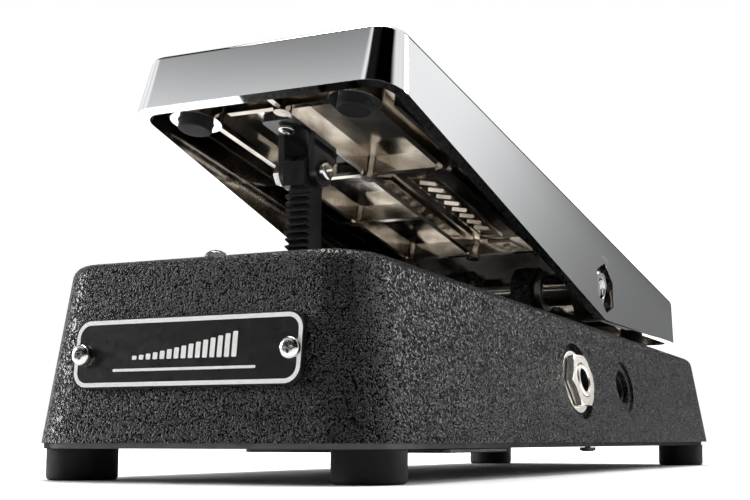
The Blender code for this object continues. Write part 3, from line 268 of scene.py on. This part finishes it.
def clear_dome():
    """Water-clear moulded epoxy over the light."""
    clear = Surface("clear_dome", (0.80, 0.82, 0.84), 0.03, Transmission_Weight=0.92, IOR=1.52)
    clear.bump(clear.noise(2.5 * MM, 1.0), 0.01 * MM, 0.2)
    clear.set("Roughness", clear.spread(clear.noise(0.8 * MM, 2.0), 0.3, 0.7, 0.015, 0.04))
    return clear.material


def solder_mask():
    """Green lacquer over a board's weave, paler along its copper tracks."""
    board = Surface("solder_mask", (0.012, 0.13, 0.055), 0.34)
    weave = board.noise(0.7 * MM, 1.0, stretch=(1.0, 0.2, 1.0))
    tracks = board.cell_edges(3.2 * MM)
    board.tint(board.spread(tracks, 0.02, 0.10, 1.0, 0.0), (0.03, 0.24, 0.10))
    board.bump(weave, 0.02 * MM, 0.5)
    return board.material


CRINKLE = crinkle_coat()
CHROME = mirror_chrome()
NICKEL = underside_nickel()
STEEL = plated_steel("plated_steel", (0.66, 0.65, 0.63), 0.18)
WASHER_GREY = plated_steel("zinc_grey", (0.42, 0.42, 0.42), 0.34)
NUT_NICKEL = plated_steel("satin_nickel", (0.90, 0.86, 0.79), 0.28)
DARK_STEEL = satin_dark_steel()
BRASS = plated_steel("turned_brass", (0.72, 0.52, 0.22), 0.24)
FOOT_RUBBER = rubber("foot_rubber", (0.003, 0.003, 0.003), (0.014, 0.0135, 0.013))
MAT_RUBBER = rubber("mat_rubber", (0.010, 0.010, 0.010), (0.032, 0.031, 0.030))
BLACK_PLASTIC = moulded_plastic("black_plastic", (0.010, 0.010, 0.011), 0.30)
NYLON = moulded_plastic("nylon", (0.72, 0.71, 0.66), 0.42)
BATTERY_PAINT = moulded_plastic("battery_wrap", (0.06, 0.065, 0.075), 0.28, 0.8)
ENAMEL = plate_enamel()
INK = print_white()
DOME = clear_dome()
BOARD = solder_mask()


# ---------------------------------------------------------------- meshes


def new_object(name, data):
    made = bpy.data.objects.new(name, data)
    bpy.context.scene.collection.objects.link(made)
    return made


def add_piece(name, mesh, node):
    """A new piece that rides on a CAD node's body."""
    piece = new_object(name, mesh)
    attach(piece, BODY_OF[node])
    return piece


def clean_mesh(name, node):
    """The CAD node's own shape with its flat faces whole again and its seams welded."""
    shape = bmesh.new()
    shape.from_mesh(NODES[node].data)
    bmesh.ops.remove_doubles(shape, verts=shape.verts[:], dist=0.002 * MM)
    bmesh.ops.dissolve_limit(shape, angle_limit=radians(0.6), verts=shape.verts[:], edges=shape.edges[:],
                             use_dissolve_boundaries=False)
    bmesh.ops.recalc_face_normals(shape, faces=shape.faces[:])
    shape.verts.index_update()
    points = [vertex.co.copy() for vertex in shape.verts]
    faces = [[vertex.index for vertex in face.verts] for face in shape.faces]
    shape.free()
    mesh = bpy.data.meshes.new(name)
    mesh.from_pydata(points, [], faces)
    mesh.update()
    return mesh


def soften(piece, edge, segments=2, sharp=32):
    """Rounds the sharp edges, and lets the large flat faces lead the shading."""
    piece.data.shade_smooth()
    piece.data.set_sharp_from_angle(angle=radians(sharp))
    if edge:
        rounding = piece.modifiers.new("edge", "BEVEL")
        rounding.width = edge * MM
        rounding.segments = segments
        rounding.limit_method = "ANGLE"
        rounding.angle_limit = radians(sharp)
        rounding.use_clamp_overlap = True
        rounding.harden_normals = True
    shading = piece.modifiers.new("shading", "WEIGHTED_NORMAL")
    shading.keep_sharp = True
    shading.weight = 80


def finish(node, materials, edge=0.15, pick=None, segments=2, sharp=32):
    """The CAD node remade with rounded edges. pick chooses a face's material by its centre and normal."""
    name = node + "_finished"
    mesh = clean_mesh(name, node)
    if not isinstance(materials, (list, tuple)):
        materials = [materials]
    for material in materials:
        mesh.materials.append(material)
    if pick:
        for face in mesh.polygons:
            face.material_index = pick(face.center, face.normal)
    piece = add_piece(name, mesh, node)
    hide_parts(node)
    soften(piece, edge, segments, sharp)
    return piece


def reach_up(piece):
    """Lifts the piece's top face over the CAD's gap, so that it meets what stands on it."""
    top = max(vertex.co.z for vertex in piece.data.vertices)
    for vertex in piece.data.vertices:
        if vertex.co.z > top - 0.01 * MM:
            vertex.co.z += CAD_GAP


def face_frame(node, towards):
    """A matrix at the middle of the node's faces that point a given way, with its Z along their normal."""
    normal, centre, total = Vector(), Vector(), 0.0
    for face in NODES[node].data.polygons:
        if face.normal.dot(towards) > 0.9:
            normal += face.normal * face.area
            centre += face.center * face.area
            total += face.area
    z = normal.normalized()
    x = UP.cross(z).normalized() if abs(z.z) < 0.9 else ACROSS
    turn = Matrix((x, z.cross(x), z)).transposed().to_4x4()
    return Matrix.Translation(centre / total) @ turn


def outline_mesh(name, outlines, loop=False):
    """A closed mesh through outlines of (x, y, z) corners, with its ends capped or joined into a loop."""
    shape = bmesh.new()
    rings = [[shape.verts.new(corner) for corner in outline] for outline in outlines]
    count = len(rings[0])
    following = rings[1:] + rings[:1] if loop else rings[1:]
    for low, high in zip(rings, following):
        for i in range(count):
            j = (i + 1) % count
            shape.faces.new((low[i], low[j], high[j], high[i]))
    if not loop:
        shape.faces.new(reversed(rings[0]))
        shape.faces.new(rings[-1])
    bmesh.ops.recalc_face_normals(shape, faces=shape.faces[:])
    mesh = bpy.data.meshes.new(name)
    shape.to_mesh(mesh)
    shape.free()
    return mesh


def turned_mesh(name, profile, sides=48):
    """A mesh turned about Z from (radius, height) steps, capped at both ends."""
    angles = [2 * pi * i / sides for i in range(sides)]
    return outline_mesh(name, [[(radius * cos(t), radius * sin(t), height) for t in angles]
                               for radius, height in profile])


def rounded_outline(half_x, half_y, radius, steps=10):
    """The (x, y) corners of a rectangle about the origin with rounded corners."""
    outline = []
    for corner, (side_x, side_y) in enumerate(((1, 1), (-1, 1), (-1, -1), (1, -1))):
        for step in range(steps + 1):
            t = corner * pi / 2 + step * pi / 2 / steps
            x = side_x * (half_x - radius) + radius * cos(t)
            y = side_y * (half_y - radius) + radius * sin(t)
            outline.append((x, y))
    return outline


def ring_mesh(name, outer, inner, low, high):
    """A flat band between two (x, y) outlines, with its thickness from low to high."""
    levels = ((outer, low), (outer, high), (inner, high), (inner, low))
    return outline_mesh(name, [[(x, y, z) for x, y in outline] for outline, z in levels], loop=True)


def bar_mesh(x0, y0, x1, y1, low, high):
    """A raised printed bar with slightly rounded corners."""
    radius = min(0.22, (y1 - y0) / 2.2)
    outline = rounded_outline((x1 - x0) / 2, (y1 - y0) / 2, radius, 3)
    middle_x, middle_y = (x0 + x1) / 2, (y0 + y1) / 2
    return outline_mesh("bar", [[(x + middle_x, y + middle_y, z) for x, y in outline] for z in (low, high)])


def joined_meshes(name, meshes):
    """One mesh from several, which are then removed."""
    shape = bmesh.new()
    for mesh in meshes:
        shape.from_mesh(mesh)
        bpy.data.meshes.remove(mesh)
    whole = bpy.data.meshes.new(name)
    shape.to_mesh(whole)
    shape.free()
    return whole


def cross_outline(arm, half, height):
    """A cross of four arms, as seen from above, at a height."""
    corner = [(half, half), (half, arm), (-half, arm), (-half, half), (-arm, half), (-arm, -half)]
    corner += [(-half, -half), (-half, -arm), (half, -arm), (half, -half), (arm, -half), (arm, half)]
    return [(x, y, height) for x, y in corner]


def cross_recess(radius, depth):
    """The tapered cutter of a cross-head recess, which starts above the head."""
    outlines = [cross_outline(radius * reach, radius * half, depth * height)
                for reach, half, height in ((0.16, 0.08, -1.0), (0.44, 0.11, -0.35), (0.62, 0.15, 0.6))]
    return outline_mesh("recess", outlines)


def apply_modifiers(piece):
    """Turns the piece's modifiers into its own mesh."""
    bpy.context.view_layer.update()
    evaluated = piece.evaluated_get(bpy.context.evaluated_depsgraph_get())
    mesh = bpy.data.meshes.new_from_object(evaluated)
    piece.modifiers.clear()
    piece.data = mesh


def cross_head_screw(node, towards, radius, height, shank, material, turn=0.0):
    """A pan-head screw with a cross recess that stands for the CAD screw.

    The radii of its head and shank and its head's height are in millimetres. turn is the recess's angle.
    """
    crown = 0.483 * height
    shank_length = 3.0
    steps = 8
    profile = [(shank, -height - shank_length), (shank, -height)]
    profile += [(radius * 0.94, -height), (radius, -height * 0.9), (radius, -crown)]
    for step in range(1, steps):
        angle = step * pi / 2 / steps
        profile.append((radius * (0.35 + 0.65 * cos(angle)), -crown * (1 - sin(angle))))
    profile.append((radius * 0.2, 0.0))
    piece = new_object(node + "_cross_head", turned_mesh(node + "_cross_head", profile))
    cutter = new_object("recess", cross_recess(radius, height * 0.75))
    cut = piece.modifiers.new("recess", "BOOLEAN")
    cut.operation = "DIFFERENCE"
    cut.object = cutter
    apply_modifiers(piece)
    bpy.data.objects.remove(cutter)
    place = face_frame(node, towards) @ Matrix.Rotation(turn, 4, "Z") @ Matrix.Scale(MM, 4)
    piece.data.transform(place)
    piece.data.materials.clear()
    piece.data.materials.append(material)
    for face in piece.data.polygons:
        face.material_index = 0
    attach(piece, BODY_OF[node])
    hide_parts(node)
    soften(piece, 0.05, 2, 30)
    return piece


# ---------------------------------------------------------------- the base


def make_shell():
    """The housing, with the plate, door and feet that close it from below."""
    finish("housing", CRINKLE, 0.5, sharp=40)
    reach_up(finish("base_plate", DARK_STEEL, 0.05))
    finish("battery_door", BLACK_PLASTIC, 0.2)
    for node in NODES:
        if node.startswith(("foot_toe", "foot_heel")):
            reach_up(finish(node, FOOT_RUBBER, 0.12))
        if node.startswith("foot_screw"):
            cross_head_screw(node, -UP, 3.4, 1.6, 0.9, STEEL, 0.4)
    for index, node in enumerate(("base_plate_screw_left", "base_plate_screw_right")):
        cross_head_screw(node, -UP, 2.4, 1.2, 0.9, DARK_STEEL, 0.7 * index)


def make_nameplate():
    """The plate with its white border, a rising row of bars and a rule below them. No lettering."""
    finish("nameplate", ENAMEL, 0.15)
    low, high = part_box("nameplate")
    half_length = (high.x - low.x) / 2 / MM
    half_height = (high.z - low.z) / 2 / MM
    corner = 4.0
    thick = 0.09
    outer, inner = [rounded_outline(half_length - inset, half_height - inset, corner - inset)
                    for inset in (0.3, 1.25)]
    pieces = [ring_mesh("nameplate_border", outer, inner, 0.0, thick)]
    bars = 15
    pitch = 1.9
    half_bar = 0.62
    foot = -1.6
    for index in range(bars):
        x = (index - (bars - 1) / 2) * pitch
        tall = 0.9 + 4.6 * (index / (bars - 1)) ** 1.3
        pieces.append(bar_mesh(x - half_bar, foot, x + half_bar, foot + tall, 0.0, thick))
    rule_half_length, rule_low, rule_high = 19.0, -4.15, -3.55
    pieces.append(bar_mesh(-rule_half_length, rule_low, rule_half_length, rule_high, 0.0, thick))
    mesh = joined_meshes("nameplate_print", pieces)
    mesh.transform(face_frame("nameplate", TOEWARDS) @ Matrix.Scale(MM, 4))
    mesh.materials.append(INK)
    add_piece("nameplate_print", mesh, "nameplate")
    for node, turn in (("nameplate_screw_left", 0.5), ("nameplate_screw_right", 0.1)):
        cross_head_screw(node, TOEWARDS, 2.35, 1.65, 1.0, STEEL, turn)


def make_light():
    finish("led_body", BLACK_PLASTIC, 0.1)
    finish("led_lens", DOME, 0.0, sharp=50)


def make_sockets():
    """Jacks with nickel sleeves and nuts, and the power socket, which is black all over."""
    sleeve_length = 7.5 * MM
    sleeve_radius = 5.2 * MM
    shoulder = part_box("housing")[1].x - sleeve_length
    for name in ("input_jack", "output_jack"):
        middle = sum(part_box(name), Vector()) / 2

        def sleeve_or_body(centre, normal, y=middle.y):
            return 1 if abs(centre.x) > shoulder and abs(centre.y - y) < sleeve_radius else 0

        finish(name, [BLACK_PLASTIC, NUT_NICKEL], 0.12, sleeve_or_body)
        finish(name + "_washer", NUT_NICKEL, 0.12)
        finish(name + "_nut", NUT_NICKEL, 0.14)
    finish("power_jack", BLACK_PLASTIC, 0.1)


def make_insides():
    """What the housing holds."""
    finish("battery", BATTERY_PAINT, 0.3)
    finish("battery_snap", BLACK_PLASTIC, 0.2)
    finish("circuit_board", BOARD, 0.1)
    finish("amplifier_chip", BLACK_PLASTIC, 0.15)
    finish("filter_capacitor", WASHER_GREY, 0.15)
    finish("potentiometer", BLACK_PLASTIC, 0.15)
    finish("potentiometer_bracket", DARK_STEEL, 0.15)
    finish("rack_guide", NYLON, 0.2)
    for node in ("potentiometer_nut", "potentiometer_screw", "rack_guide_screw", "board_screw_left",
                 "board_screw_right", "potentiometer_shaft"):
        finish(node, STEEL, 0.08)
    finish("pinion", NYLON, 0.06)
    for node in ("pivot_bush_left", "pivot_bush_right"):
        finish(node, BRASS, 0.12)


# ---------------------------------------------------------------- the treadle and its drive

# The treadle's shape, in millimetres from the middle of its tread mat's top, which tells chrome from nickel
TREADLE_HALF_WIDTH = 36.3
TREADLE_HALF_LENGTH = 110.5
TREADLE_DRAFT = 0.11
TREADLE_CORNER = 6.5
CUP_X = 23.0
CUP_Y = -102.5
CUP_REACH = 6.9
POCKET_FLOOR = 33.0
POCKET_REACH = 8.0
TOP_THICK = 3.7
OUTER_SKIN = 0.6
LOWER_RIM_DEPTH = 13.8
LOWER_RIM_WIDTH = 4.2

# The treadle's hinge, in the CAD's own frame
PIVOT = Vector((0.0, 34.5 * MM, 57.6 * MM))


def make_treadle():
    """Chrome outside, on the lower rim and round the bumper cups; thin warm nickel everywhere else."""
    inverse = face_frame("tread_mat", UP).inverted()
    turn = inverse.to_3x3()

    def past_outer_wall(place):
        """How far a place is outside the treadle's drafted walls and rounded corners."""
        inset = TREADLE_CORNER + TREADLE_DRAFT * place.z
        over = Vector((abs(place.x) - TREADLE_HALF_WIDTH, abs(place.y) - TREADLE_HALF_LENGTH))
        over += Vector((inset, inset))
        beyond = Vector((max(over.x, 0.0), max(over.y, 0.0))).length
        return beyond + min(max(over), 0.0) - TREADLE_CORNER

    def outside_or_inside(centre, normal):
        place = inverse @ centre / MM
        facing = turn @ normal
        depth = -place.z
        outwards = past_outer_wall(place)
        in_pocket = abs(place.x) > POCKET_FLOOR and (centre - PIVOT).yz.length < POCKET_REACH * MM
        in_pocket_wall = in_pocket and abs(facing.x) < 0.8
        if depth < TOP_THICK or (outwards > -OUTER_SKIN and not in_pocket_wall):
            return 0
        in_cup = Vector((abs(place.x) - CUP_X, place.y - CUP_Y)).length < CUP_REACH
        faces_down = facing.z < -0.7 and depth > LOWER_RIM_DEPTH
        return 0 if faces_down and (outwards > -LOWER_RIM_WIDTH or in_cup) else 1

    finish("treadle", [CHROME, NICKEL], 0.35, outside_or_inside, 3, 30)
    finish("tread_mat", MAT_RUBBER, 0.25)
    for node in NODES:
        if node.startswith("bumper"):
            finish(node, FOOT_RUBBER, 0.25)
        if node.startswith("pivot_nut"):
            finish(node, CHROME, 0.12)
        if node.startswith("pivot_washer"):
            finish(node, WASHER_GREY, 0.15)
    finish("pivot_shaft", STEEL, 0.1)


def make_drive():
    """The rack, the bracket it hangs from, and their fasteners."""
    finish("rack", BLACK_PLASTIC, 0.12)
    finish("rack_bracket", BLACK_PLASTIC, 0.25)
    finish("rack_pin_nut", STEEL, 0.1)
    cross_head_screw("rack_pin", ACROSS, 2.7, 1.6, 1.5, STEEL, 0.3)
    under_treadle = -face_frame("tread_mat", UP).to_3x3().col[2]
    for node in ("rack_bracket_screw_toe", "rack_bracket_screw_heel"):
        cross_head_screw(node, under_treadle, 2.2, 1.3, 0.9, STEEL, 0.2)


# ---------------------------------------------------------------- studio


def make_floor():
    """A white floor that glows away from the pedal, so that it meets the backdrop without a line."""
    half = 60.0
    thick = 0.02
    glow_starts, glow_full = 0.16, 0.6
    outline = [(x * half, y * half) for x, y in ((-1, -1), (1, -1), (1, 1), (-1, 1))]
    mesh = outline_mesh("floor", [[(x, y, z) for x, y in outline] for z in (-thick, 0.0)])
    floor = new_object("floor", mesh)
    paper = Surface("floor_paper", (0.92, 0.92, 0.92), 0.6, Specular_IOR_Level=0.2)
    paper.set("Emission Color", (1.0, 1.0, 1.0, 1.0))
    away = paper.vector_sums("LENGTH", {0: paper.place}, "Value")
    seen = paper.node("ShaderNodeLightPath").outputs["Is Camera Ray"]
    glow = paper.spread(away, glow_starts, glow_full, 0.0, 0.7)
    share = paper.spread(seen, 0.0, 1.0, 0.25, 1.0)
    paper.set("Emission Strength", paper.sums("MULTIPLY", glow, share))
    fibre = paper.noise(0.05, 3.0)
    paper.tint(paper.spread(fibre, 0.3, 0.7, 0.0, 1.0), (0.90, 0.90, 0.90))
    mesh.materials.append(paper.material)


# Direction, angle within which it is darkest, angle where it has gone, and the brightness left in it
DARK_STRETCHES = (
    ((0.34, -0.50, 0.79), 31, 38, 0.01),
    ((-0.45, 0.25, 0.85), 20, 30, 0.05),
    ((0.72, -0.60, 0.33), 34, 46, 0.01),
    ((-0.50, -0.85, 0.10), 24, 35, 0.02),
    ((0.10, -0.99, 0.10), 24, 36, 0.02),
    ((-0.50, -0.20, 0.84), 11, 24, 0.15),
    ((0.14, 0.99, 0.04), 7, 24, 0.20),
    ((-0.05, 0.92, 0.38), 14, 21, 0.02),
)


def make_world():
    """A slightly uneven white studio with dark stretches, which shows as plain white behind the pedal."""
    world = bpy.data.worlds.new("studio")
    bpy.context.scene.world = world
    studio = NodeTree(world)
    direction = studio.node("ShaderNodeTexCoord").outputs["Generated"]
    inputs = {"Vector": direction, "Scale": 2.6, "Detail": 1.0}
    cloud = studio.node("ShaderNodeTexNoise", inputs).outputs["Fac"]
    brightness = studio.spread(cloud, 0.3, 0.7, 0.72, 1.22)
    for towards, near, far, left in DARK_STRETCHES:
        inputs = {0: direction, 1: Vector(towards).normalized()}
        closeness = studio.vector_sums("DOT_PRODUCT", inputs, "Value")
        ends = (cos(radians(far)), cos(radians(near)))
        dimming = studio.spread(closeness, *ends, 1.0, left, interpolation_type="SMOOTHSTEP")
        brightness = studio.sums("MULTIPLY", brightness, dimming)
    seen = studio.node("ShaderNodeLightPath").outputs["Is Camera Ray"]
    background = studio.tree.nodes["Background"]
    studio.feed(background.inputs["Strength"], studio.sums("MAXIMUM", brightness, seen))
    background.inputs["Color"].default_value = (1.0, 1.0, 1.0, 1.0)


def make_lamp(name, place, size, power):
    """A square area lamp that points at the pedal's middle."""
    lamp = bpy.data.lights.new(name, "AREA")
    lamp.shape = "SQUARE"
    lamp.size = size
    lamp.energy = power
    made = new_object(name, lamp)
    made.location = place
    pedal_middle = Vector((0.0, 0.0, 0.03))
    made.rotation_euler = (pedal_middle - made.location).to_track_quat("-Z", "Y").to_euler()


def make_camera():
    """Low, close to the toe end's right corner, with a shifted lens."""
    camera = bpy.data.cameras.new("camera")
    camera.sensor_width = 36.0
    camera.lens = 61.16
    camera.shift_x = -0.1724
    camera.shift_y = 0.1129
    camera.clip_start = 0.01
    camera.clip_end = 60.0
    made = new_object("camera", camera)
    made.location = (0.17644, -0.34694, 0.00943)
    made.rotation_euler = (radians(94.7), 0.0, radians(24.47))
    bpy.context.scene.camera = made


def make_studio():
    bpy.context.scene.view_settings.view_transform = "Standard"
    make_floor()
    make_world()
    make_lamp("overhead", (-0.2, 0.1, 1.1), 0.7, 20.0)
    make_lamp("left", (-1.3, -0.45, 0.35), 0.4, 9.0)
    make_lamp("heel", (0.9, 1.25, 0.78), 0.5, 9.0)
    make_camera()


make_studio()
make_shell()
make_nameplate()
make_light()
make_sockets()
make_insides()
make_treadle()
make_drive()
